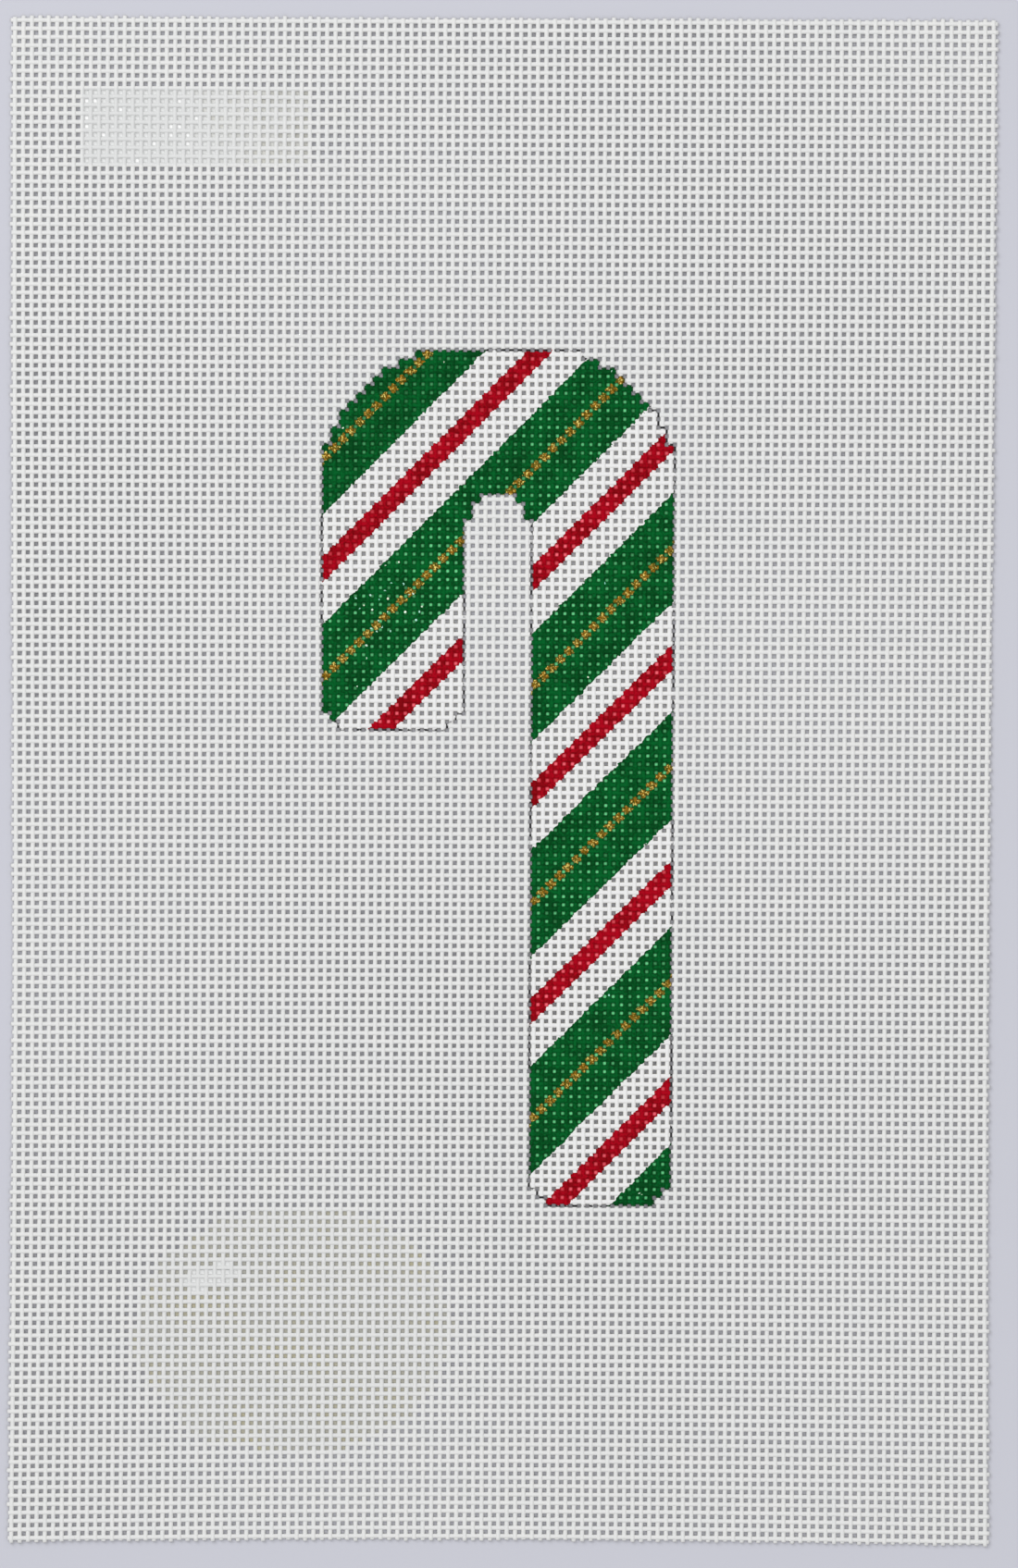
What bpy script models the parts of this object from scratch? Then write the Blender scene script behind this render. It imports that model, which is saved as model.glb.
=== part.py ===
"""A painted needlepoint canvas, lying flat with its painted side up.

The canvas is a stiff mesh of sized cotton threads, woven one over, one under, with eighteen threads to
the inch. It is one sheet, with cut edges, two flattened threads thick. The mesh's holes are smaller than
the eye of a sewing needle, so the solid is the closed sheet that the threads fill.

Metres, +Z up. The origin is the middle of the underside, +X runs across the canvas, and +Y runs up the
painted design, towards the edge above the crook of the cane.
"""

import math

import bpy

# Driving dimensions
INCH = 0.0254
THREADS_PER_INCH = 18
THREADS_ACROSS = 117
THREADS_UP = 181
THREAD_HEIGHT = 0.0004
WAIST_DEPTH = 0.0008
WAIST_SPAN = 4 / 3
LOWER_EDGE_RISE = 0.00065
OUTLINE_STEP = 0.008

# What follows from them
PITCH = INCH / THREADS_PER_INCH
WIDTH = THREADS_ACROSS * PITCH
LENGTH = THREADS_UP * PITCH
THICKNESS = 2 * THREAD_HEIGHT

CANVAS_COLOUR = (0.78, 0.80, 0.81, 1.0)
CANVAS_ROUGHNESS = 0.85


def clear_scene():
    """Remove whatever the file starts with."""
    for thing in list(bpy.data.objects):
        bpy.data.objects.remove(thing, do_unlink=True)


def new_collection(name):
    collection = bpy.data.collections.new(name)
    bpy.context.scene.collection.children.link(collection)
    return collection


def sized_cotton():
    """White cotton, stiffened with starch, with no shine."""
    material = bpy.data.materials.new("sized_cotton")
    material.use_nodes = True
    shader = material.node_tree.nodes["Principled BSDF"]
    shader.inputs["Base Color"].default_value = CANVAS_COLOUR
    shader.inputs["Roughness"].default_value = CANVAS_ROUGHNESS
    shader.inputs["Metallic"].default_value = 0.0
    return material


def waist(along):
    """How far a side has drawn in at a place along it, which runs from -1, the lower end, to 1.

    The upper corners keep their full width, and the canvas is narrowest a third of the way up.
    """
    down = (1 - along) / 2
    return WAIST_DEPTH * (1 - math.cos(2 * math.pi * down / WAIST_SPAN)) / 2


def steps(length):
    """Even places from -1 up to just under 1, about one for every OUTLINE_STEP of the edge."""
    count = round(length / OUTLINE_STEP)
    return [2 * k / count - 1 for k in range(count)]


def outline():
    """The cut edge, going round anticlockwise from the lower left corner."""
    half_width = WIDTH / 2
    half_length = LENGTH / 2
    lower_half_width = half_width - waist(-1)
    lower = [
        (t * lower_half_width, LOWER_EDGE_RISE * math.cos(t * math.pi / 2) - half_length)
        for t in steps(WIDTH)
    ]
    right = [(half_width - waist(t), t * half_length) for t in steps(LENGTH)]
    upper = [(-t * half_width, half_length) for t in steps(WIDTH)]
    left = [(waist(-t) - half_width, -t * half_length) for t in steps(LENGTH)]
    return lower + right + upper + left


def make_canvas(collection):
    """The sheet, as a filled flat outline with half its thickness each way."""
    curve = bpy.data.curves.new("canvas", "CURVE")
    curve.dimensions = "2D"
    curve.fill_mode = "BOTH"
    curve.extrude = THICKNESS / 2
    points = outline()
    spline = curve.splines.new("POLY")
    spline.points.add(len(points) - 1)
    for point, (x, y) in zip(spline.points, points):
        point.co = (x, y, 0, 1)
    spline.use_cyclic_u = True
    curve.materials.append(sized_cotton())
    canvas = bpy.data.objects.new("canvas", curve)
    canvas.location.z = THICKNESS / 2
    collection.objects.link(canvas)
    return canvas


clear_scene()
make_canvas(new_collection("needlepoint_canvas"))
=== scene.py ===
# %% [markdown]
# # A painted needlepoint canvas
#
# A needlepoint canvas is an open mesh of stiff cotton threads. A painter colours the crossings one by
# one, and a stitcher then covers each crossing with one stitch of that colour. This one shows a striped
# cane, with a wide bare margin round it for the frame that holds it while it is worked.
#
# The lesson builds it the way it is made: real threads that pass over and under each other, then paint
# that follows the crossings, then the primer and the glitter that lie on top.

# %% Load the frame
import math

import bpy
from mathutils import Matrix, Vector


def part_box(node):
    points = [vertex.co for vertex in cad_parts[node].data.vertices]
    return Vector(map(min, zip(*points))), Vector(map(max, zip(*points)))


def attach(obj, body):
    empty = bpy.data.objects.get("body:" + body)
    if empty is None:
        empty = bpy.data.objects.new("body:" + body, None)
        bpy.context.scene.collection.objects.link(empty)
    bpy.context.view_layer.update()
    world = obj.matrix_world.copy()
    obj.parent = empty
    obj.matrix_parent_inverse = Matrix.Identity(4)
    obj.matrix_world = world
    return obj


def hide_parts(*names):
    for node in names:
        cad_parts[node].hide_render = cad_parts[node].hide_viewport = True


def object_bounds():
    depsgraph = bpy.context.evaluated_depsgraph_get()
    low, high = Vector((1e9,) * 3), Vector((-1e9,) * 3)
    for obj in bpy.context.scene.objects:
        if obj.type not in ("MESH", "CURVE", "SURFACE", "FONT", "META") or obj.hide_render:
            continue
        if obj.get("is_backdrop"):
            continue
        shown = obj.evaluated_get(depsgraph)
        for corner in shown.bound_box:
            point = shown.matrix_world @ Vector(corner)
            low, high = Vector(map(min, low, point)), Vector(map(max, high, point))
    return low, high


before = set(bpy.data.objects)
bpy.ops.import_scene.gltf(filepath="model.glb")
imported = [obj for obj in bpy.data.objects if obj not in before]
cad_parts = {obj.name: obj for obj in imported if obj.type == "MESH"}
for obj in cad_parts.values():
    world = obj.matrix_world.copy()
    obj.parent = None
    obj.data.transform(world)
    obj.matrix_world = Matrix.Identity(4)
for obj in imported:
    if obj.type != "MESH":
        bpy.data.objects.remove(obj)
cad_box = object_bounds()
sheet_low, sheet_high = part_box("canvas")
WIDTH = sheet_high.x - sheet_low.x
LENGTH = sheet_high.y - sheet_low.y
THICKNESS = sheet_high.z - sheet_low.z
print("sheet, mm:", [round(1000 * size, 1) for size in (WIDTH, LENGTH, THICKNESS)])

# %% [markdown]
# ## The count
#
# Everything on a canvas is counted in threads. The columns are counted from the left and the rows from
# the top, and the distance between neighbours, the pitch, follows from the sheet's size and its count.
# A flattened thread fills a little over half of a pitch. Where two of them cross, starch has glued them
# and the mill's rollers have pressed them into each other, so a thread rises and falls by much less
# than its own height, and from above the mesh looks like an even grid. The cloth itself is a little
# thinner than the space it fills, because it doesn't lie quite flat.

# %% Count the threads
COLUMNS = 117
ROWS = 181
PITCH = WIDTH / COLUMNS
MIDDLE_COLUMN = (COLUMNS - 1) / 2
MIDDLE_ROW = (ROWS - 1) / 2
THREAD_WIDTH = 0.54 * PITCH
CRIMP = 0.1
CLOTH = 0.76 * THICKNESS
THREAD_HEIGHT = CLOTH / (1 + 2 * CRIMP)
print("pitch, mm:", round(1000 * PITCH, 3), "threads to the inch:", round(0.0254 / PITCH, 1))

# %% [markdown]
# ## Writing node trees as sums
#
# The painted design and the shape of the weave are both rules about columns and rows. A rule is easiest
# to read as a sum, so a small class wraps a node's socket, and arithmetic on it adds Math nodes. The
# same class serves a shader and a Geometry Nodes tree, so one rule can colour a thread and shape it.


# %% A value in a node tree
def put(tree, socket, value):
    """Give a socket a value, or a link if the value comes from another node."""
    if isinstance(value, Field):
        tree.links.new(value.socket, socket)
    else:
        socket.default_value = value


class Field:
    """One value in a node tree. Arithmetic on it adds Math nodes."""

    def __init__(self, tree, socket):
        self.tree = tree
        self.socket = socket

    def math(self, operation, *values):
        node = self.tree.nodes.new("ShaderNodeMath")
        node.operation = operation
        for socket, value in zip(node.inputs, values):
            put(self.tree, socket, value)
        return Field(self.tree, node.outputs[0])

    def output(self, name):
        """Another output of the node that this value comes from."""
        return Field(self.tree, self.socket.node.outputs[name])

    def __add__(self, other):
        return self.math("ADD", self, other)

    def __sub__(self, other):
        return self.math("SUBTRACT", self, other)

    def __rsub__(self, other):
        return self.math("SUBTRACT", other, self)

    def __mul__(self, other):
        return self.math("MULTIPLY", self, other)

    def __truediv__(self, other):
        return self.math("DIVIDE", self, other)

    def __mod__(self, other):
        return self.math("FLOORED_MODULO", self, other)

    def __lt__(self, other):
        return self.math("LESS_THAN", self, other)

    def __gt__(self, other):
        return self.math("GREATER_THAN", self, other)

    def __abs__(self):
        return self.math("ABSOLUTE", self)

    def __round__(self):
        return self.math("ROUND", self)

    def __floor__(self):
        return self.math("FLOOR", self)

    __radd__ = __add__
    __rmul__ = __mul__

    def at_least(self, other):
        return self.math("MAXIMUM", self, other)

    def at_most(self, other):
        return self.math("MINIMUM", self, other)

    def sign(self):
        return self.math("SIGN", self)

    def cos(self):
        return self.math("COSINE", self)

    def sin(self):
        return self.math("SINE", self)

    def ramp(self, start, end):
        """0 up to start and 1 from end, with a straight slope between them."""
        node = self.tree.nodes.new("ShaderNodeMapRange")
        for name, value in {"Value": self, "From Min": start, "From Max": end}.items():
            put(self.tree, node.inputs[name], value)
        return Field(self.tree, node.outputs[0])


# %% [markdown]
# Other nodes all come from one method. It takes the node's type, then its settings, which decide what
# sockets it has, and then what goes into the sockets.


# %% A node tree
class Tree:
    """A shader or a Geometry Nodes tree, with its named inputs as fields."""

    def __init__(self, nodes):
        self.nodes = nodes
        self.inputs = {}

    def make(self, kind, settings=None, **sockets):
        node = self.nodes.nodes.new(kind)
        for name, value in (settings or {}).items():
            setattr(node, name, value)
        for name, value in sockets.items():
            put(self.nodes, node.inputs[name.replace("_", " ")], value)
        return Field(self.nodes, node.outputs[0])

    def vector(self, x=0.0, y=0.0, z=0.0):
        return self.make("ShaderNodeCombineXYZ", X=x, Y=y, Z=z)

    def noise(self, place, scale, detail=2.0):
        """Smooth unevenness from 0 to 1, about 0.5 on average."""
        return self.make("ShaderNodeTexNoise", Vector=place, Scale=scale, Detail=detail)

    def chance_at(self, column, row):
        """A random number from 0 to 1, a different one for each hole."""
        place = self.vector(column, row)
        return self.make("ShaderNodeTexWhiteNoise", {"noise_dimensions": "2D"}, Vector=place)

    def mix(self, share, first, second):
        """A colour that goes from the first to the second as share goes from 0 to 1."""
        node = self.nodes.nodes.new("ShaderNodeMix")
        node.data_type = "RGBA"
        put(self.nodes, node.inputs["Factor"], share)
        for name, colour in (("A_Color", first), ("B_Color", second)):
            socket = next(s for s in node.inputs if s.identifier == name)
            put(self.nodes, socket, colour)
        return Field(self.nodes, next(s for s in node.outputs if s.identifier == "Result_Color"))


def geometry_tree(name, inputs):
    """A Geometry Nodes tree whose inputs are given as name: (kind, value)."""
    group = bpy.data.node_groups.new(name, "GeometryNodeTree")
    for label, (kind, value) in inputs.items():
        socket = group.interface.new_socket(label, in_out="INPUT", socket_type="NodeSocket" + kind)
        if value is not None:
            socket.default_value = value
    group.interface.new_socket("Geometry", in_out="OUTPUT", socket_type="NodeSocketGeometry")
    tree = Tree(group)
    entry = group.nodes.new("NodeGroupInput")
    tree.inputs = {label: Field(group, entry.outputs[label]) for label in inputs}
    return tree


def finish_tree(tree, geometry):
    """Turn instances into real mesh, give it its material, and send it out."""
    real = tree.make("GeometryNodeRealizeInstances", Geometry=geometry)
    dressed = tree.make("GeometryNodeSetMaterial", Geometry=real, Material=tree.inputs["Material"])
    exit_node = tree.nodes.nodes.new("NodeGroupOutput")
    put(tree.nodes, exit_node.inputs["Geometry"], dressed)


def made_by(name, tree, values):
    """A plain mesh object from a Geometry Nodes tree, with these values on its named inputs."""
    host = bpy.data.objects.new(name + "_host", bpy.data.meshes.new(name + "_host"))
    bpy.context.scene.collection.objects.link(host)
    modifier = host.modifiers.new("nodes", "NODES")
    modifier.node_group = tree.nodes
    items = tree.nodes.interface.items_tree
    sockets = {item.name: item.identifier for item in items if item.in_out == "INPUT"}
    for label, value in values.items():
        modifier[sockets[label]] = value
    evaluated = host.evaluated_get(bpy.context.evaluated_depsgraph_get())
    mesh = bpy.data.meshes.new_from_object(evaluated)
    bpy.data.objects.remove(host)
    piece = bpy.data.objects.new(name, mesh)
    bpy.context.scene.collection.objects.link(piece)
    mesh.calc_loop_triangles()
    print(name, "triangles:", len(mesh.loop_triangles))
    return piece


# %% [markdown]
# ## The design as a rule
#
# A painter works from a chart of squares, one for each crossing. The cane on this chart follows a short
# rule, so it isn't drawn square by square. Its top is a band with round shoulders, its two legs are
# bands with clipped corners, and a round arch parts them. The whole top is the same left and right of
# one line, the cane's axis, so most of the rule works on the distance from that line.

# %% The cane's outline
CANE_AXIS = 57.5
CANE_REACH = 20.5
TOP_ROW = 39
SHOULDER_RADIUS = 16.2
SHOULDER_ACROSS = 5
SHOULDER_ROW = 54.5
ARCH_REACH = 4
ARCH_HEIGHT = 5.8
ARCH_ROW = 61
LEG_AXIS = 12.5
LEG_REACH = 8
HOOK_END_ROW = 83
SHAFT_END_ROW = 140
CORNER_CLIP = 2
HALF_STITCH = 0.5


def inside_cane(column, row):
    """1 at a crossing that belongs to the cane and 0 elsewhere."""
    across = abs(column - CANE_AXIS)
    shoulder_x = (across - SHOULDER_ACROSS).at_least(0)
    shoulder_y = (SHOULDER_ROW - row).at_least(0)
    top = (shoulder_x * shoulder_x + shoulder_y * shoulder_y) < SHOULDER_RADIUS**2
    band = (across < CANE_REACH + HALF_STITCH) * (row > TOP_ROW - HALF_STITCH)
    arch_x = across / ARCH_REACH
    arch_y = (ARCH_ROW - row).at_least(0) / ARCH_HEIGHT
    gap = (arch_x * arch_x + arch_y * arch_y) < 1
    end_row = HOOK_END_ROW + (column > CANE_AXIS) * (SHAFT_END_ROW - HOOK_END_ROW)
    above_end = end_row - row
    from_side = LEG_REACH - abs(across - LEG_AXIS)
    clipped = (above_end + from_side) < CORNER_CLIP - HALF_STITCH
    return top * band * (1 - gap) * (above_end > -HALF_STITCH) * (1 - clipped)


# %% [markdown]
# The stripes climb to the right at forty-five degrees. On a chart that means that a stripe's place
# depends only on column plus row. It repeats every twenty-six stitches: a green band with a line of
# gold along its middle, then white, a narrow red band, and white again.

# %% The stripes
STRIPE_START = 82
STRIPE_REPEAT = 26
GREEN_STITCHES = 13
GOLD_STITCH = 6
RED_MIDDLE = 19
RED_STITCHES = 3.6
HOOK_STRIPE_END = 133.5


def green_and_red(column, row):
    """Where the green and the red bands are. The last green band stops short of the hook's end."""
    place = (column + row - STRIPE_START + HALF_STITCH) % STRIPE_REPEAT
    past_hook = (column < CANE_AXIS) * (column + row > HOOK_STRIPE_END)
    green = (place < GREEN_STITCHES) * (1 - past_hook)
    red = abs(place - HALF_STITCH - RED_MIDDLE) < RED_STITCHES / 2
    return green, red


# %% [markdown]
# Each gold stitch is a thick dab that spreads a little past its crossing, so that it touches the next
# one along the diagonal. How far a point lies from the gold line is known from column plus row, and the
# nearest dab is then the nearest whole crossing on that line.

# %% The gold dabs
GOLD_REACH = 0.55
GOLD_WIDENING = 1.15
GOLD_START = STRIPE_START + GOLD_STITCH - STRIPE_REPEAT / 2


def gold_dabs(column, row):
    """1 on a gold dab and 0 elsewhere."""
    from_line = (column + row - GOLD_START) % STRIPE_REPEAT - STRIPE_REPEAT / 2
    along = column - from_line / 2
    off_x = along - round(along) + from_line / 2
    off_y = from_line - off_x
    off_x = off_x / GOLD_WIDENING
    return (off_x * off_x + off_y * off_y) < GOLD_REACH**2


# %% [markdown]
# ## The threads
#
# On the real sheet a warp thread runs up the canvas and passes over one weft thread and under the next.
# It could be a curve with a round bevel, but an array of three hundred curves is heavy. Here each
# thread starts as a flat strip of a grid, six faces wide, and fields roll it up: the place across the
# strip becomes an angle round the thread, and the place along it becomes the way up the canvas. Two
# rings for each crossing are enough, one as the thread climbs and one as it drops, which gives the
# crossings the flat tops that the rollers press into them. The thread's section is pressed flat too:
# three quarters of its width is level, above and below.
#
# A strip brings two things that a curve would lose. Its own grid unrolls into a map with no overlap,
# and its seam can lie along the underside.
#
# No cut sheet is quite square. Its sides draw in, its rows slip, its lower edge rises in the middle and
# it doesn't lie quite flat. One function gives all of that as a shift, and every layer uses it, so the
# paint stays on its threads.

# %% How far off true the sheet is
WAIST_DEPTH = 0.0008
WAIST_SPAN = 4 / 3
LOWER_EDGE_RISE = 0.00065
ROW_SLIP = 0.0009
SLIP_SPAN = 0.72
BUCKLE_SCALE = 11.0
LIFT = THICKNESS - CLOTH


def off_true(tree, x, y):
    """How far a place on the sheet is from where a perfect weave would have it, across, up and high."""
    down = 0.5 - y / LENGTH
    sideways = x / (WIDTH / 2)
    waist = (1 - (down * (2 * math.pi / WAIST_SPAN)).cos()) / 2 * WAIST_DEPTH
    slip = (1 - (down.at_most(SLIP_SPAN) * (2 * math.pi / SLIP_SPAN)).cos()) / 2 * ROW_SLIP
    rise = (sideways * (math.pi / 2)).cos() * down * down * down * down * LOWER_EDGE_RISE
    high = tree.noise(tree.vector(x, y, 0.0), BUCKLE_SCALE, detail=0.0).ramp(0.3, 0.7) * LIFT
    return 0 - sideways * waist, rise - slip, high


# %% [markdown]
# Where the sheet was cut, each thread ends in a short stub past the last crossing. The stubs are of
# uneven length, and they close in a point. The threads wander a little sideways, and they have slubs,
# where the yarn is thicker. A painted thread is a little thicker too.

# %% Roll strips into threads
SIDES = 6
SEAM_TURN = math.radians(240)
FLAT_TO_FLAT = math.cos(math.radians(30))
LEVEL_SHARE = 0.76
END_RINGS = 2
CROSSING_HALF = 0.25
STUB_SHORTEST = 0.12
STUB_SPREAD = 0.22
TIP_LENGTH = 0.04
STUB_THINNING = 0.08
STUB_SETTLING = 0.45
WANDER = 0.04
WANDER_RATE = 0.11
SLUB = 0.1
SLUB_RATE = 0.45
THREAD_KEY = 7.31
WEFT_KEY = 211.7
PAINT_SWELL = 0.05
MERGE = 0.000001


def weave_tree():
    """Threads that run up the canvas, or across it where Weft is 1."""
    tree = geometry_tree(
        "weave",
        {
            "Threads": ("Int", 10),
            "First Thread": ("Int", 0),
            "Threads In All": ("Int", 10),
            "Crossings": ("Int", 10),
            "Weft": ("Int", 0),
            "Pitch": ("Float", 0.001),
            "Thread Width": ("Float", 0.001),
            "Thread Height": ("Float", 0.001),
            "Seed": ("Float", 0.0),
            "Material": ("Material", None),
        },
    )
    given = tree.inputs
    pitch, weft = given["Pitch"], given["Weft"]
    rings = given["Crossings"] * 2 + 2 * END_RINGS

    strip = tree.make(
        "GeometryNodeMeshGrid",
        Size_X=float(SIDES),
        Size_Y=rings - 1,
        Vertices_X=SIDES + 1,
        Vertices_Y=rings,
    )
    starts = tree.make("GeometryNodePoints", Count=given["Threads"])
    strips = tree.make("GeometryNodeInstanceOnPoints", Points=starts, Instance=strip)
    number = tree.make("GeometryNodeInputIndex") + given["First Thread"]
    numbered = tree.make(
        "GeometryNodeStoreNamedAttribute",
        {"domain": "INSTANCE", "data_type": "FLOAT"},
        Geometry=strips,
        Name="thread",
        Value=number,
    )
    real = tree.make("GeometryNodeRealizeInstances", Geometry=numbered)

    place = tree.make("ShaderNodeSeparateXYZ", Vector=tree.make("GeometryNodeInputPosition"))
    side = place + SIDES / 2
    ring = place.output("Y") + (rings - 1) / 2
    thread = tree.make("GeometryNodeInputNamedAttribute", {"data_type": "FLOAT"}, Name="thread")

    inner = (ring - END_RINGS).at_least(0).at_most(given["Crossings"] * 2 - 1)
    past = ring - END_RINGS - inner
    beyond = abs(past).at_most(1)
    tip = abs(past) > 1.5
    crossing = math.floor(inner / 2)
    over = 1 - ((thread + crossing + weft) % 2) * 2

    number_key = thread * THREAD_KEY + weft * WEFT_KEY + given["Seed"]
    stub = tree.make("ShaderNodeTexWhiteNoise", {"noise_dimensions": "1D"}, W=number_key + past.sign())
    overhang = stub * STUB_SPREAD + STUB_SHORTEST
    steps = inner / 2 - CROSSING_HALF + past.sign() * (beyond * overhang + tip * TIP_LENGTH)
    wander_key = tree.vector(steps * WANDER_RATE, number_key)
    slub_key = tree.vector(steps * SLUB_RATE, number_key, 5.0)
    wander = (tree.noise(wander_key, 1.0) - 0.5) * (WANDER * 2)
    slub = (tree.noise(slub_key, 1.0, detail=3.0) - 0.5) * (SLUB * 2)

    number_across = thread - (given["Threads In All"] - 1) / 2
    number_along = steps - (given["Crossings"] - 1) / 2
    column = (number_across * (1 - weft) + number_along * weft) + MIDDLE_COLUMN
    row = MIDDLE_ROW - (number_along * (1 - weft) - number_across * weft)
    painted = inside_cane(round(column), round(row))

    turn = side * (2 * math.pi / SIDES) + SEAM_TURN
    girth = (1 + slub + painted * PAINT_SWELL) * (1 - tip) * (1 - beyond * STUB_THINNING)
    sideways = (turn.cos() * (2 * LEVEL_SHARE)).at_least(-1).at_most(1)
    lateral = sideways / 2 * given["Thread Width"] * girth
    height = turn.sin() / (2 * FLAT_TO_FLAT) * given["Thread Height"] * girth
    level = over * given["Thread Height"] * CRIMP * (1 - beyond * STUB_SETTLING)

    across = (number_across + wander) * pitch + lateral
    along = number_along * pitch
    x = across * (1 - weft) + along * weft
    y = along * (1 - weft) - across * weft
    shift_x, shift_y, high = off_true(tree, x, y)
    z = level + height + CLOTH / 2 + high
    target = tree.vector(x + shift_x, y + shift_y, z)

    weave = tree.vector(x / pitch + MIDDLE_COLUMN, MIDDLE_ROW - y / pitch, turn.sin())
    strand = tree.vector(side / SIDES, steps)
    from_first = thread - given["First Thread"] + side / SIDES
    unrolled = tree.vector(from_first / given["Threads"], ring / (rings - 1))
    for label, domain, kind, value in (
        ("weave", "POINT", "FLOAT_VECTOR", weave),
        ("strand", "CORNER", "FLOAT2", strand),
        ("OFBake", "CORNER", "FLOAT2", unrolled),
    ):
        real = tree.make(
            "GeometryNodeStoreNamedAttribute",
            {"domain": domain, "data_type": kind},
            Geometry=real,
            Name=label,
            Value=value,
        )
    rolled = tree.make("GeometryNodeSetPosition", Geometry=real, Position=target)
    closed = tree.make("GeometryNodeMergeByDistance", Geometry=rolled, Distance=MERGE)
    smooth = tree.make("GeometryNodeSetShadeSmooth", Geometry=closed)
    finish_tree(tree, smooth)
    return tree


# %% [markdown]
# ## Cotton and paint
#
# Sized cotton is white and has no shine. The lower sides of the threads are painted darker and yellower,
# as painted shade for the light that reaches them only after it has met other threads. The paint is a
# matt acrylic, a little uneven in its coats. These are the colours of all the finishes.

# %% Colours


def colour_of(red, green, blue):
    """A screen colour, from 0 to 255, as the light that a shader works with."""
    channels = [value / 255 for value in (red, green, blue)]
    return (*[c / 12.92 if c <= 0.04045 else ((c + 0.055) / 1.055) ** 2.4 for c in channels], 1.0)


COTTON = colour_of(232, 232, 231)
COTTON_DULL = colour_of(228, 229, 229)
# painted shade for the lower sides of bare threads
COTTON_SIDE_SHADE = colour_of(146, 138, 84)
WHITE_PAINT = colour_of(236, 236, 236)
# painted shade for the lower sides of white-painted threads
WHITE_PAINT_SIDE_SHADE = colour_of(150, 142, 96)
PRIMER = colour_of(222, 223, 223)
# painted shade: thin primer coloured darker for the shaded hole below it
PRIMER_THIN_SHADED = colour_of(180, 179, 171)
PRIMER_YELLOW = colour_of(190, 184, 154)
# painted highlight in the middle of some primer skins
PRIMER_PAINTED_HIGHLIGHT = colour_of(248, 248, 248)
GREEN_PAINT = colour_of(1, 97, 40)
GREEN_PAINT_THICK = colour_of(1, 70, 26)
GREEN_SKIN_LIT = colour_of(118, 236, 158)
RED_PAINT = colour_of(174, 1, 26)
RED_PAINT_THICK = colour_of(132, 1, 12)
RED_SKIN_LIT = colour_of(255, 108, 126)
GOLD_PAINT = colour_of(150, 102, 22)
GOLD_PAINT_DARK = colour_of(78, 80, 18)
# painted highlight on the gold dabs
GOLD_PAINTED_HIGHLIGHT = colour_of(228, 206, 112)
INK = colour_of(50, 49, 52)
GLITTER_GREEN = colour_of(150, 236, 214)
GLITTER_WHITE = colour_of(246, 255, 226)
PALE_TABLE = colour_of(201, 202, 212)


# %% A principled material
def new_material(name):
    """A material, its node tree and the shader in it."""
    material = bpy.data.materials.new(name)
    material.use_nodes = True
    shader = material.node_tree.nodes["Principled BSDF"]
    return material, Tree(material.node_tree), shader


def bump(tree, height, distance):
    """A surface that looks raised where the height is 1, by the distance in metres."""
    return tree.make("ShaderNodeBump", Height=height, Distance=distance, Strength=1.0).output("Normal")


# %% [markdown]
# The painter first draws the cane's outline with a fine pen. The line runs between the crossings that
# belong to the cane and those that don't, so it can be found without drawing it: a point is on the line
# if it lies close to a neighbouring square whose answer is the other one.

# %% Where the ink line runs
INK_REACH = 0.14


def ink_line(column, row, stitch_x, stitch_y, inside):
    """1 on the drawn outline, which runs between two crossings where one is the cane's and one isn't."""
    off_x = column - stitch_x
    off_y = row - stitch_y
    crosswise = abs(off_x) > abs(off_y)
    beside_x = stitch_x + off_x.sign() * crosswise
    beside_y = stitch_y + off_y.sign() * (1 - crosswise)
    at_border = abs(off_x).at_least(abs(off_y)) > HALF_STITCH - INK_REACH
    return at_border * abs(inside - inside_cane(beside_x, beside_y))


# %% [markdown]
# Above the crook, to the left, lies a plain rectangle of white primer, which dulls the threads a little
# and fills their holes. It is thickest at the left and thins out to the right. Below, to the left of the
# shaft, is a faint round patch of it, with one small thick dab. Both are rules about columns and rows,
# like the cane, so the same rule can tint the threads here and fill the holes later.

# %% Where the primer lies
PRIMER_LEFT = 8
PRIMER_RIGHT = 35
PRIMER_TOP = 8
PRIMER_BOTTOM = 17
PRIMER_FULL_TO = 16
PATCH_COLUMN = 33.5
PATCH_ROW = 155.5
PATCH_REACH_X = 20
PATCH_REACH_Y = 15.5
DAB_COLUMN = 23.5
DAB_ROW = 149
DAB_REACH_X = 2.8
DAB_REACH_Y = 1.7
PATCH_COVER = 0.45
DAB_COVER = 0.3


def rectangle(column, row):
    """How thick the primer is in the rectangle, from 1 at its left end, and 0 outside it."""
    beside = (column > PRIMER_LEFT) * (column < PRIMER_RIGHT)
    level = (row > PRIMER_TOP) * (row < PRIMER_BOTTOM)
    return beside * level * column.ramp(PRIMER_RIGHT + 5, PRIMER_FULL_TO)


def oval(column, row, at, reach):
    """How far inside an oval a point is: 1 at its middle, 0 on its edge and less outside."""
    off_x = (column - at[0]) / reach[0]
    off_y = (row - at[1]) / reach[1]
    return 1 - off_x * off_x - off_y * off_y


def round_patch(tree, column, row):
    """1 in the round patch, fading out at its uneven edge."""
    uneven = tree.noise(tree.vector(column, row), 0.15, detail=2.0) - 0.5
    inner = oval(column, row, (PATCH_COLUMN, PATCH_ROW), (PATCH_REACH_X, PATCH_REACH_Y))
    return (inner + uneven * 0.5).ramp(0.0, 0.2)


def small_dab(column, row):
    """1 on the small thick dab, which leans to the left as it goes down."""
    leaning = column + row - DAB_ROW
    return oval(leaning, row, (DAB_COLUMN, DAB_ROW), (DAB_REACH_X, DAB_REACH_Y)).ramp(0.0, 0.3)


def primed(tree, column, row):
    """How much the primer covers a thread."""
    faint = round_patch(tree, column, row) * PATCH_COVER + small_dab(column, row) * DAB_COVER
    return (rectangle(column, row) + faint).at_most(1)


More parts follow.
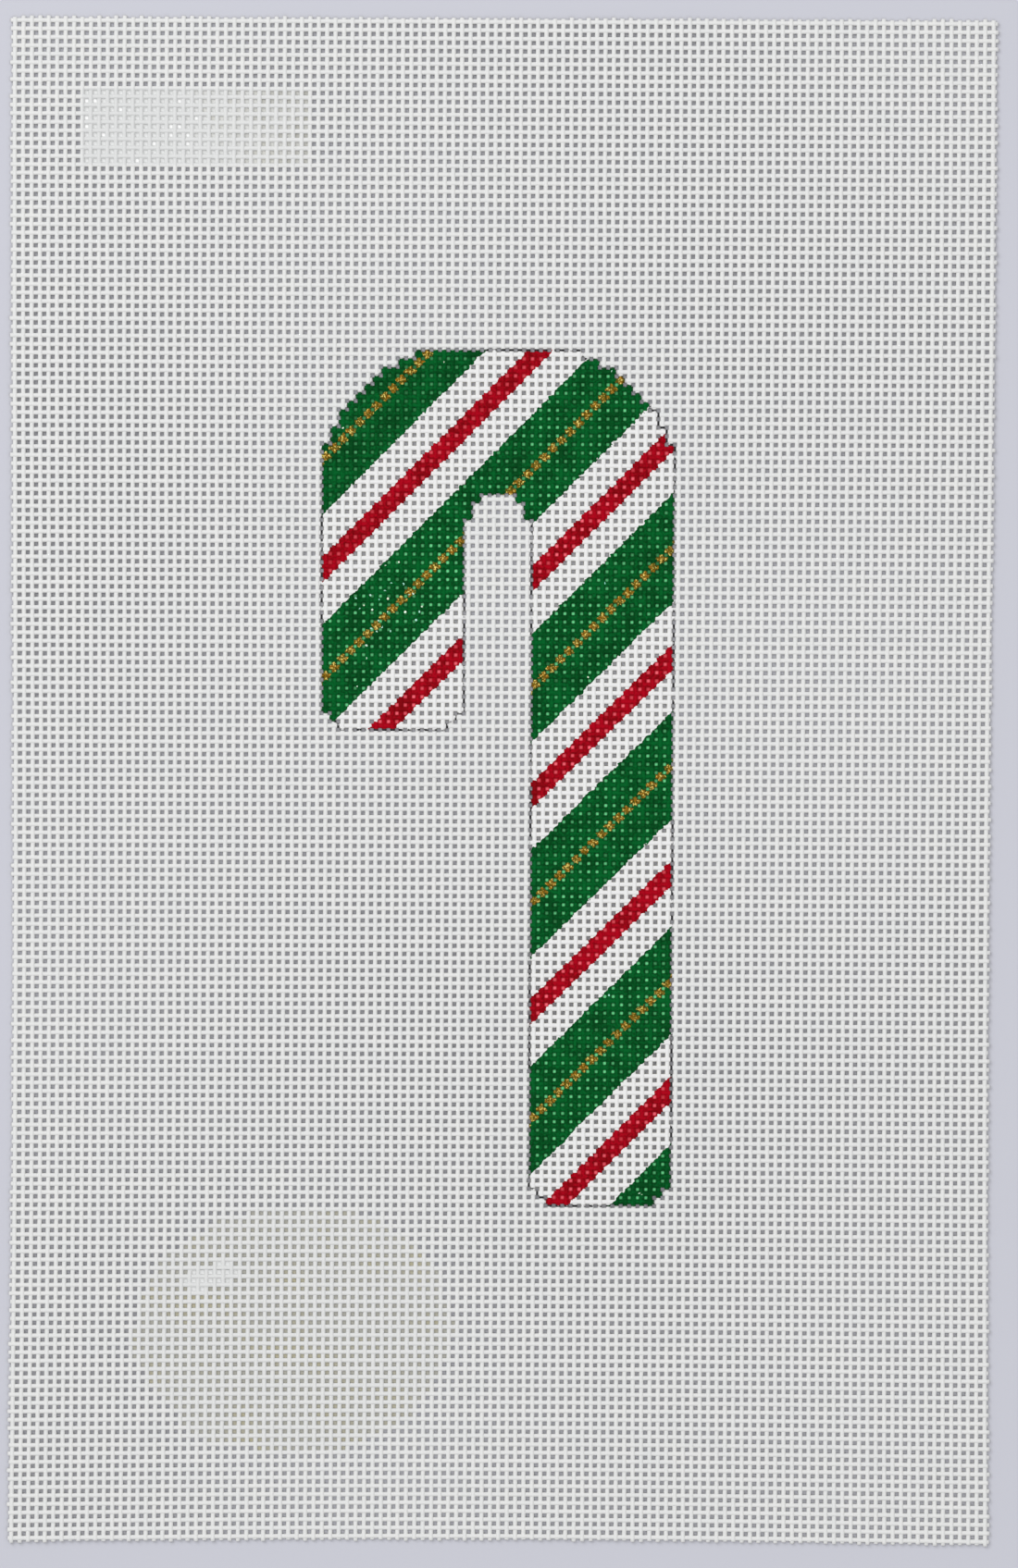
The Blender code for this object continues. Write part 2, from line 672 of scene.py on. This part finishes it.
# %% [markdown]
# One material covers every thread, bare or painted, because the real paint simply sits on the cotton.
# It reads what the threads carry: the column and row of each point, how far up the thread's side it is,
# and how far round and along the thread. Rounding the column and row to whole numbers gives the
# crossing, and so the square of the chart. A little noise is added first, so that the paint stops
# unevenly between two crossings. The green was brushed along its edges, so it has a smooth slope. The
# red was dabbed on crossing by crossing, so its edge climbs in steps.

# %% Painted cotton
EDGE_WOBBLE = 0.3
EDGE_SCALE = 1400.0
BRUSH_WOBBLE = 1.1
RED_SLOPE = 0.35
DAB_WOBBLE = 0.6
DAB_SCALE = 1900.0
MOTTLE_SCALE = 260.0
STREAK_SCALE = 2600.0
HIGHLIGHT_SCALE = 3600.0
INK_SCALE = 1100.0
FIBRE_SCALE = 5200.0
PLY_TURNS = 2.5
THREAD_RELIEF = 0.00003


def painted_cotton():
    """Cotton, bare at the sheet's margins, and painted and inked where the chart says so."""
    material, tree, shader = new_material("painted_cotton")
    weave = tree.make("ShaderNodeAttribute", {"attribute_name": "weave"}).output("Vector")
    place = tree.make("ShaderNodeSeparateXYZ", Vector=weave)
    column, row, up = place, place.output("Y"), place.output("Z")
    strand = tree.make("ShaderNodeAttribute", {"attribute_name": "strand"}).output("Vector")
    round_and_along = tree.make("ShaderNodeSeparateXYZ", Vector=strand)
    spot = tree.make("ShaderNodeTexCoord").output("Object")

    three_noises = tree.noise(spot, EDGE_SCALE, detail=1.0).output("Color")
    wobble = tree.make("ShaderNodeSeparateColor", Color=three_noises)
    stitch_x = round(column + (wobble - 0.5) * EDGE_WOBBLE)
    stitch_y = round(row + (wobble.output("Green") - 0.5) * EDGE_WOBBLE)
    inside = inside_cane(stitch_x, stitch_y)
    brushed = row + (wobble.output("Blue") - 0.5) * BRUSH_WOBBLE
    green = green_and_red(column, brushed)[0]
    stepped_x = stitch_x + (column - stitch_x) * RED_SLOPE
    stepped_y = stitch_y + (brushed - stitch_y) * RED_SLOPE
    red = green_and_red(stepped_x, stepped_y)[1]
    ragged = tree.noise(spot, DAB_SCALE, detail=0.0)
    gold = gold_dabs(column + (ragged - 0.5) * DAB_WOBBLE, row + (0.5 - ragged) * DAB_WOBBLE)

    mottle = tree.noise(spot, MOTTLE_SCALE, detail=3.0)
    streaks = tree.noise(spot, STREAK_SCALE, detail=2.0)
    gold_highlights = tree.noise(spot, HIGHLIGHT_SCALE, detail=1.0)
    reach = up.ramp(-0.95, -0.35) * 0.75 + 0.25

    cotton = tree.mix(mottle.ramp(0.3, 0.7), COTTON, COTTON_DULL)
    # Painted shade: the lower sides of the bare threads are coloured darker and yellower.
    cotton = tree.mix(up.ramp(0.1, -0.7), cotton, COTTON_SIDE_SHADE)
    cotton = tree.mix(primed(tree, column, row) * up.ramp(-0.6, 0.3), cotton, PRIMER)
    # Painted shade: the lower sides of the white-painted threads are coloured darker and yellower.
    white = tree.mix(up.ramp(0.6, -0.1), WHITE_PAINT, WHITE_PAINT_SIDE_SHADE)
    colour = tree.mix(inside, cotton, white)
    uneven = (streaks + mottle) / 2
    green_tone = tree.mix(uneven.ramp(0.43, 0.57), GREEN_PAINT, GREEN_PAINT_THICK)
    red_tone = tree.mix(uneven.ramp(0.43, 0.57), RED_PAINT, RED_PAINT_THICK)
    gold_tone = tree.mix(streaks.ramp(0.4, 0.6), GOLD_PAINT, GOLD_PAINT_DARK)
    # Painted highlights: pale yellow specks mixed into the gold's colour.
    gold_tone = tree.mix(gold_highlights.ramp(0.55, 0.66), gold_tone, GOLD_PAINTED_HIGHLIGHT)
    colour = tree.mix(inside * green * reach, colour, green_tone)
    colour = tree.mix(inside * red * reach, colour, red_tone)
    colour = tree.mix(inside * gold * reach, colour, gold_tone)

    ink = ink_line(column, row, stitch_x, stitch_y, inside) * up.ramp(-0.4, 0.2)
    ink = ink * tree.noise(spot, INK_SCALE).ramp(0.36, 0.5) * (1 - green * 0.6)
    colour = tree.mix(ink, colour, INK)

    paint = inside * reach
    metal = inside * gold * reach
    ply = round_and_along * 2 + round_and_along.output("Y") * PLY_TURNS
    twist = ((ply * (2 * math.pi)).sin() + 1) / 2
    fibres = tree.noise(spot, FIBRE_SCALE, detail=3.0)
    relief = twist * (1 - paint * 0.7) * 0.4 + fibres * 0.7
    put(tree.nodes, shader.inputs["Base Color"], colour)
    put(tree.nodes, shader.inputs["Roughness"], 0.9 - paint * 0.2 - metal * 0.3)
    put(tree.nodes, shader.inputs["Metallic"], metal * 0.5)
    put(tree.nodes, shader.inputs["Normal"], bump(tree, relief, THREAD_RELIEF))
    shader.inputs["Specular IOR Level"].default_value = 0.05
    return material


# %% [markdown]
# ## Weave the sheet
#
# The sheet takes about a million triangles, so its threads are made in six bands, three of warp and
# three of weft. Each band holds whole threads, from one cut edge to the other.

# %% Weave the bands
WARP_BANDS = {"warp_left": (0, 39), "warp_middle": (39, 39), "warp_right": (78, 39)}
WEFT_BANDS = {"weft_top": (0, 60), "weft_middle": (60, 61), "weft_bottom": (121, 60)}
weave = weave_tree()
cotton = painted_cotton()


def weave_band(name, first, count, weft):
    """One band of whole threads, with the first thread's number and how many there are."""
    values = {
        "Threads": count,
        "First Thread": first,
        "Threads In All": ROWS if weft else COLUMNS,
        "Crossings": COLUMNS if weft else ROWS,
        "Weft": weft,
        "Pitch": PITCH,
        "Thread Width": THREAD_WIDTH,
        "Thread Height": THREAD_HEIGHT,
        "Seed": 3.0,
        "Material": cotton,
    }
    return made_by(name, weave, values)


warp = [weave_band(name, *band, 0) for name, band in WARP_BANDS.items()]
weft = [weave_band(name, *band, 1) for name, band in WEFT_BANDS.items()]

# %% [markdown]
# ## Skins of paint
#
# Wet paint bridges the holes and dries there as a thin skin, which lets the pale table glow through. So
# the green and red fields are dotted with lighter spots. Spots of colour on the table could pass for
# them from above, but a skin stays with the canvas, so each is a small dished mesh of its own.
#
# One Geometry Nodes tree makes them all: a point in each hole, a rule that keeps some of the holes and
# says how full they are, and a small grid on each point that is left, hollow in the middle.

# %% Skins in holes
SKIN_CELLS = 4
SKIN_SPAN = 0.5
SKIN_DISH = 0.2 * CLOTH
SKIN_LOWEST = 0.1 * CLOTH
SKIN_HIGHEST = 0.85 * CLOTH
MAP_FILL = 0.9


def skin_tree(name, rule):
    """Skins in the holes that the rule keeps. A hole at column 4.5 lies between threads 4 and 5."""
    tree = geometry_tree(
        name,
        {
            "First Column": ("Float", 0.5),
            "First Row": ("Float", 0.5),
            "Columns": ("Int", 10),
            "Rows": ("Int", 10),
            "Pitch": ("Float", 0.001),
            "Material": ("Material", None),
        },
    )
    given = tree.inputs
    pitch, columns, rows = given["Pitch"], given["Columns"], given["Rows"]
    holes = tree.make(
        "GeometryNodeMeshGrid", Size_X=columns - 1, Size_Y=rows - 1, Vertices_X=columns, Vertices_Y=rows
    )
    centre = tree.make("ShaderNodeSeparateXYZ", Vector=tree.make("GeometryNodeInputPosition"))
    across = centre + (columns - 1) / 2
    down = (rows - 1) / 2 - centre.output("Y")
    hole = tree.vector(across, down, 0.0)
    keep, fill, glow = rule(tree, across + given["First Column"], down + given["First Row"])
    for label, kind, value in (
        ("hole", "FLOAT_VECTOR", hole),
        ("keep", "FLOAT", keep),
        ("fill", "FLOAT", fill),
        ("glow", "FLOAT", glow),
    ):
        holes = tree.make(
            "GeometryNodeStoreNamedAttribute",
            {"domain": "POINT", "data_type": kind},
            Geometry=holes,
            Name=label,
            Value=value,
        )
    skin = tree.make(
        "GeometryNodeMeshGrid", Size_X=1.0, Size_Y=1.0, Vertices_X=SKIN_CELLS + 1, Vertices_Y=SKIN_CELLS + 1
    )
    local = tree.make("GeometryNodeInputPosition")
    skin = tree.make(
        "GeometryNodeStoreNamedAttribute",
        {"domain": "POINT", "data_type": "FLOAT_VECTOR"},
        Geometry=skin,
        Name="skin",
        Value=local,
    )
    kept = tree.make("GeometryNodeInputNamedAttribute", {"data_type": "FLOAT"}, Name="keep") > 0.5
    skins = tree.make("GeometryNodeInstanceOnPoints", Points=holes, Instance=skin, Selection=kept)
    real = tree.make("GeometryNodeRealizeInstances", Geometry=skins)

    hole = tree.make(
        "ShaderNodeSeparateXYZ",
        Vector=tree.make("GeometryNodeInputNamedAttribute", {"data_type": "FLOAT_VECTOR"}, Name="hole"),
    )
    skin = tree.make(
        "ShaderNodeSeparateXYZ",
        Vector=tree.make("GeometryNodeInputNamedAttribute", {"data_type": "FLOAT_VECTOR"}, Name="skin"),
    )
    fill = tree.make("GeometryNodeInputNamedAttribute", {"data_type": "FLOAT"}, Name="fill")
    column = hole + given["First Column"] + skin * SKIN_SPAN
    row = hole.output("Y") + given["First Row"] - skin.output("Y") * SKIN_SPAN
    x = (column - MIDDLE_COLUMN) * pitch
    y = (MIDDLE_ROW - row) * pitch
    dish = (1 - skin * skin * 4) * (1 - skin.output("Y") * skin.output("Y") * 4)
    shift_x, shift_y, high = off_true(tree, x, y)
    z = fill * (SKIN_HIGHEST - SKIN_LOWEST) + SKIN_LOWEST + high - dish * fill * SKIN_DISH
    target = tree.vector(x + shift_x, y + shift_y, z)
    map_x = (hole + skin * MAP_FILL + 0.5) / columns
    map_y = (hole.output("Y") - skin.output("Y") * MAP_FILL + 0.5) / rows
    unrolled = tree.vector(map_x, map_y)
    for label, domain, kind, value in (
        ("weave", "POINT", "FLOAT_VECTOR", tree.vector(column, row, dish)),
        ("OFBake", "CORNER", "FLOAT2", unrolled),
    ):
        real = tree.make(
            "GeometryNodeStoreNamedAttribute",
            {"domain": domain, "data_type": kind},
            Geometry=real,
            Name=label,
            Value=value,
        )
    placed = tree.make("GeometryNodeSetPosition", Geometry=real, Position=target)
    finish_tree(tree, tree.make("GeometryNodeSetShadeSmooth", Geometry=placed))
    return tree


# %% [markdown]
# Paint closes only the holes that it surrounds, so a hole counts if all four of its threads are the
# cane's. How much light a skin lets through changes from hole to hole, and in slow drifts from one part
# of the cane to the next.

# %% Which holes hold paint
def paint_rule(tree, column, row):
    """Holes whose four threads are all the cane's and that lie in a green or a red band.

    The skins are thickest, and so glow least, in the upper left of the crook.
    """
    green, red = green_and_red(column, row)
    keep = green.at_least(red)
    for step_x in (-HALF_STITCH, HALF_STITCH):
        for step_y in (-HALF_STITCH, HALF_STITCH):
            keep = keep * inside_cane(column + step_x, row + step_y)
    patch = tree.noise(tree.vector(column, row), 0.11, detail=1.0).ramp(0.35, 0.65)
    crook = (column + row).ramp(96, 112) * 0.6 + 0.4
    single = tree.chance_at(column, row)
    return keep, red * 0.42 + 0.4, (patch * 0.35 + single * 0.7 + 0.1) * crook


# %% [markdown]
# A skin lets through the most light in its middle, where it is thinnest. Real glass-like transmission
# would show that too, but only over a bright table. A lighter colour in the middle shows it anywhere.

# %% The finish of a skin of paint
def skin_of_paint():
    """Green or red paint, painted lighter towards the middle of each skin, for the light shining through
    it.
    """
    material, tree, shader = new_material("skin_of_paint")
    weave = tree.make("ShaderNodeAttribute", {"attribute_name": "weave"}).output("Vector")
    glow = tree.make("ShaderNodeAttribute", {"attribute_name": "glow"}).output("Fac")
    place = tree.make("ShaderNodeSeparateXYZ", Vector=weave)
    red = green_and_red(place, place.output("Y"))[1]
    thin = tree.mix(red, GREEN_SKIN_LIT, RED_SKIN_LIT)
    thick = tree.mix(red, GREEN_PAINT, RED_PAINT)
    glowing = place.output("Z").ramp(0.15, 0.8) * glow
    put(tree.nodes, shader.inputs["Base Color"], tree.mix(glowing, thick, thin))
    shader.inputs["Roughness"].default_value = 0.6
    shader.inputs["Specular IOR Level"].default_value = 0.2
    return material


# %% Fill the painted holes
CANE_LEFT = 37
CANE_RIGHT = 78
CANE_TOP = 39
CANE_BOTTOM = 140


def skins(name, rule, left, right, top, bottom, material):
    """Skins in the holes between these outermost columns and rows of threads."""
    values = {
        "First Column": left + HALF_STITCH,
        "First Row": top + HALF_STITCH,
        "Columns": right - left,
        "Rows": bottom - top,
        "Pitch": PITCH,
        "Material": material,
    }
    return made_by(name, skin_tree(name, rule), values)


paint = skin_of_paint()
paint_skins = skins("paint_skins", paint_rule, CANE_LEFT, CANE_RIGHT, CANE_TOP, CANE_BOTTOM, paint)

# %% [markdown]
# The primer fills holes in the same way. Its skins lie near the middle of the threads' height where it
# is thick, and near the bottom of the holes where it is thin, so they look darker there; the thin skins'
# colour is also painted darker, as painted shade. Where it is thickest, a few skins carry a painted
# highlight, a bright white spot in the middle.

# %% Which holes hold primer
def rectangle_rule(tree, column, row):
    """Holes in the rectangle, with a painted highlight on about one in eight of the thickest skins."""
    thick = rectangle(column, row)
    single = tree.chance_at(column, row)
    highlight_spot = (single > 0.88) * (thick > 0.75)
    return thick > 0, thick * 0.4 + single * 0.12 - 0.05, highlight_spot


def round_rule(tree, column, row):
    """Holes in the round patch and under the small dab."""
    dab = small_dab(column, row)
    return (round_patch(tree, column, row) + dab) > 0.4, dab * 0.9, 0.0


def primer():
    """White primer, a little yellow in places, painted darker as shade where it is thin, with a painted
    highlight in the middle of some of the skins.
    """
    material, tree, shader = new_material("primer")
    fill = tree.make("ShaderNodeAttribute", {"attribute_name": "fill"}).output("Fac")
    glow = tree.make("ShaderNodeAttribute", {"attribute_name": "glow"}).output("Fac")
    weave = tree.make("ShaderNodeAttribute", {"attribute_name": "weave"}).output("Vector")
    dish = tree.make("ShaderNodeSeparateXYZ", Vector=weave).output("Z")
    spot = tree.make("ShaderNodeTexCoord").output("Object")
    yellow = tree.noise(spot, 130.0, detail=2.0).ramp(0.5, 0.7)
    thin = tree.mix(yellow, PRIMER_THIN_SHADED, PRIMER_YELLOW)
    # Painted shade: thin primer is coloured darker, for the shaded hole below it.
    colour = tree.mix(fill.ramp(0.0, 0.3), thin, PRIMER)
    # Painted highlight: a bright white spot in the middle of some skins.
    colour = tree.mix(glow * dish.ramp(0.3, 0.6), colour, PRIMER_PAINTED_HIGHLIGHT)
    put(tree.nodes, shader.inputs["Base Color"], colour)
    shader.inputs["Roughness"].default_value = 0.3
    return material


primer_material = primer()
rectangle_skins = skins(
    "rectangle_skins", rectangle_rule, PRIMER_LEFT, PRIMER_RIGHT, PRIMER_TOP, PRIMER_BOTTOM, primer_material
)
round_skins = skins(
    "round_skins",
    round_rule,
    math.floor(PATCH_COLUMN - PATCH_REACH_X),
    math.ceil(PATCH_COLUMN + PATCH_REACH_X),
    math.floor(PATCH_ROW - PATCH_REACH_Y),
    math.ceil(PATCH_ROW + PATCH_REACH_Y),
    primer_material,
)

# %% [markdown]
# ## Glitter
#
# Flecks of glitter are caught in the green paint, most of them in one spot on the crook's short leg. A
# fleck is a thin hexagon. Random points are spread over the cane, those outside the green are dropped,
# and each that is left gets a hexagon of its own size, turn and tilt.

# %% Scatter the flecks
FLECK_RADIUS = 0.00021
FLECK_DEPTH = 0.00002
FLECK_TILT = 0.45
FLECK_TURN = 3.1
FLECK_SMALLEST = 0.5
FLECK_LARGEST = 1.2
CLUSTER_COLUMN = 44.5
CLUSTER_ROW = 69.5
CLUSTER_REACH_X = 6
CLUSTER_REACH_Y = 9


def fleck_tree():
    """Thin hexagons on the green, the clustered ones round one spot and the scattered ones anywhere."""
    tree = geometry_tree(
        "flecks",
        {
            "Clustered": ("Int", 20),
            "Scattered": ("Int", 30),
            "Pitch": ("Float", 0.001),
            "Seed": ("Int", 0),
            "Material": ("Material", None),
        },
    )
    given = tree.inputs
    pitch, seed = given["Pitch"], given["Seed"]

    def chance(low, high, step):
        """A random number for each fleck. Each step is a different choice."""
        node = tree.make("FunctionNodeRandomValue", {"data_type": "FLOAT"}, Seed=seed + step).socket.node
        for name, value in (("Min", low), ("Max", high)):
            put(tree.nodes, next(s for s in node.inputs if s.name == name and s.enabled), value)
        return Field(tree.nodes, next(s for s in node.outputs if s.enabled))

    count = given["Clustered"] + given["Scattered"]
    points = tree.make("GeometryNodePoints", Count=count)
    clustered = tree.make("GeometryNodeInputIndex") < given["Clustered"]
    near_column = (chance(-1.0, 1.0, 1) + chance(-1.0, 1.0, 2)) / 2 * CLUSTER_REACH_X + CLUSTER_COLUMN
    near_row = (chance(-1.0, 1.0, 3) + chance(-1.0, 1.0, 4)) / 2 * CLUSTER_REACH_Y + CLUSTER_ROW
    far_column = chance(float(CANE_LEFT), float(CANE_RIGHT), 5)
    far_row = chance(float(CANE_TOP), float(CANE_BOTTOM), 6)
    column = far_column + (near_column - far_column) * clustered
    row = far_row + (near_row - far_row) * clustered
    green = green_and_red(column, row)[0] * inside_cane(round(column), round(row))
    x = (column - MIDDLE_COLUMN) * pitch
    y = (MIDDLE_ROW - row) * pitch
    shift_x, shift_y, high = off_true(tree, x, y)
    place = tree.vector(x + shift_x, y + shift_y, high + CLOTH)
    placed = tree.make("GeometryNodeSetPosition", Geometry=points, Position=place)
    fleck = tree.make("GeometryNodeMeshCylinder", Vertices=6, Radius=FLECK_RADIUS, Depth=FLECK_DEPTH)
    wide = chance(FLECK_SMALLEST, FLECK_LARGEST, 10)
    tall = chance(FLECK_SMALLEST, FLECK_LARGEST, 11)
    tilt_x = chance(-FLECK_TILT, FLECK_TILT, 7)
    tilt_y = chance(-FLECK_TILT, FLECK_TILT, 8)
    turn = tree.vector(tilt_x, tilt_y, chance(0.0, FLECK_TURN, 9))
    flecks = tree.make(
        "GeometryNodeInstanceOnPoints",
        Points=placed,
        Instance=fleck,
        Selection=green > 0.5,
        Rotation=turn,
        Scale=tree.vector(wide, tall, 1.0),
    )
    tinted = tree.make(
        "GeometryNodeStoreNamedAttribute",
        {"domain": "INSTANCE", "data_type": "FLOAT"},
        Geometry=flecks,
        Name="tint",
        Value=chance(0.0, 1.0, 12),
    )
    finish_tree(tree, tinted)
    return tree


def glitter():
    """Flecks from pale green to white, with a glossy coat."""
    material, tree, shader = new_material("glitter")
    tint = tree.make("ShaderNodeAttribute", {"attribute_name": "tint"}).output("Fac")
    colour = tree.mix(tint, GLITTER_GREEN, GLITTER_WHITE)
    put(tree.nodes, shader.inputs["Base Color"], colour)
    shader.inputs["Roughness"].default_value = 0.15
    shader.inputs["Coat Weight"].default_value = 0.6
    return material


flecks = made_by(
    "glitter_flecks",
    fleck_tree(),
    {"Clustered": 26, "Scattered": 40, "Pitch": PITCH, "Seed": 5, "Material": glitter()},
)

# %% [markdown]
# ## Camera, floor and light
#
# The sheet lies on a plain pale table and is seen from straight above. The camera is far enough away
# that the holes near the corners look as open as those in the middle. A large soft lamp stands high on
# the upper left, and the sky light is even and white.

# %% Camera
VIEW_HEIGHT = 0.2625
CAMERA_HEIGHT = 0.9
SENSOR = 36.0
lens = bpy.data.cameras.new("camera")
lens.sensor_width = SENSOR
lens.lens = SENSOR * CAMERA_HEIGHT / VIEW_HEIGHT
camera = bpy.data.objects.new("camera", lens)
camera.location = (0.0013, -0.0005, CAMERA_HEIGHT)
camera.rotation_euler = (0, 0, math.radians(0.24))
bpy.context.scene.collection.objects.link(camera)
bpy.context.scene.camera = camera

# %% Floor
floor_material, floor_tree, floor_shader = new_material("pale_table")
floor_shader.inputs["Base Color"].default_value = PALE_TABLE
floor_shader.inputs["Roughness"].default_value = 0.7
bpy.ops.mesh.primitive_plane_add(size=4.0, location=(0, 0, -0.00005))
floor = bpy.context.object
floor.name = "floor"
floor.data.materials.append(floor_material)
floor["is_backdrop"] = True


# %% Light
def soft_lamp(name, place, size, power):
    """A square lamp that faces the middle of the sheet."""
    data = bpy.data.lights.new(name, "AREA")
    data.size = size
    data.energy = power
    lamp = bpy.data.objects.new(name, data)
    lamp.location = place
    middle = Vector((0, 0, 0)) - Vector(place)
    lamp.rotation_euler = middle.to_track_quat("-Z", "Y").to_euler()
    bpy.context.scene.collection.objects.link(lamp)


soft_lamp("window", (-0.7, 0.7, 1.1), 0.9, 9.2)
soft_lamp("ceiling", (0.3, -0.3, 1.5), 1.4, 7.2)
world = bpy.data.worlds.new("white_room")
world.use_nodes = True
world.node_tree.nodes["Background"].inputs["Color"].default_value = (1, 1, 1, 1)
world.node_tree.nodes["Background"].inputs["Strength"].default_value = 0.5
bpy.context.scene.world = world
bpy.context.scene.view_settings.view_transform = "Standard"

# %% [markdown]
# ## One body
#
# Every piece lies in the sheet's own frame and rides on the one body.

coats = [paint_skins, rectangle_skins, round_skins]
on_strip = [[rectangle_skins, round_skins], [paint_skins, flecks], []]
for piece in warp + weft + coats + [flecks]:
    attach(piece, "root")
for piece in warp:
    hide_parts("canvas")
for strip, crossed, extras, (first, count) in zip(warp, weft, on_strip, WARP_BANDS.values()):
    together = [crossed, *extras]
    count * PITCH

sizes = {"cad": cad_box, "visual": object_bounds()}
{name: [list(corner) for corner in box] for name, box in sizes.items()}
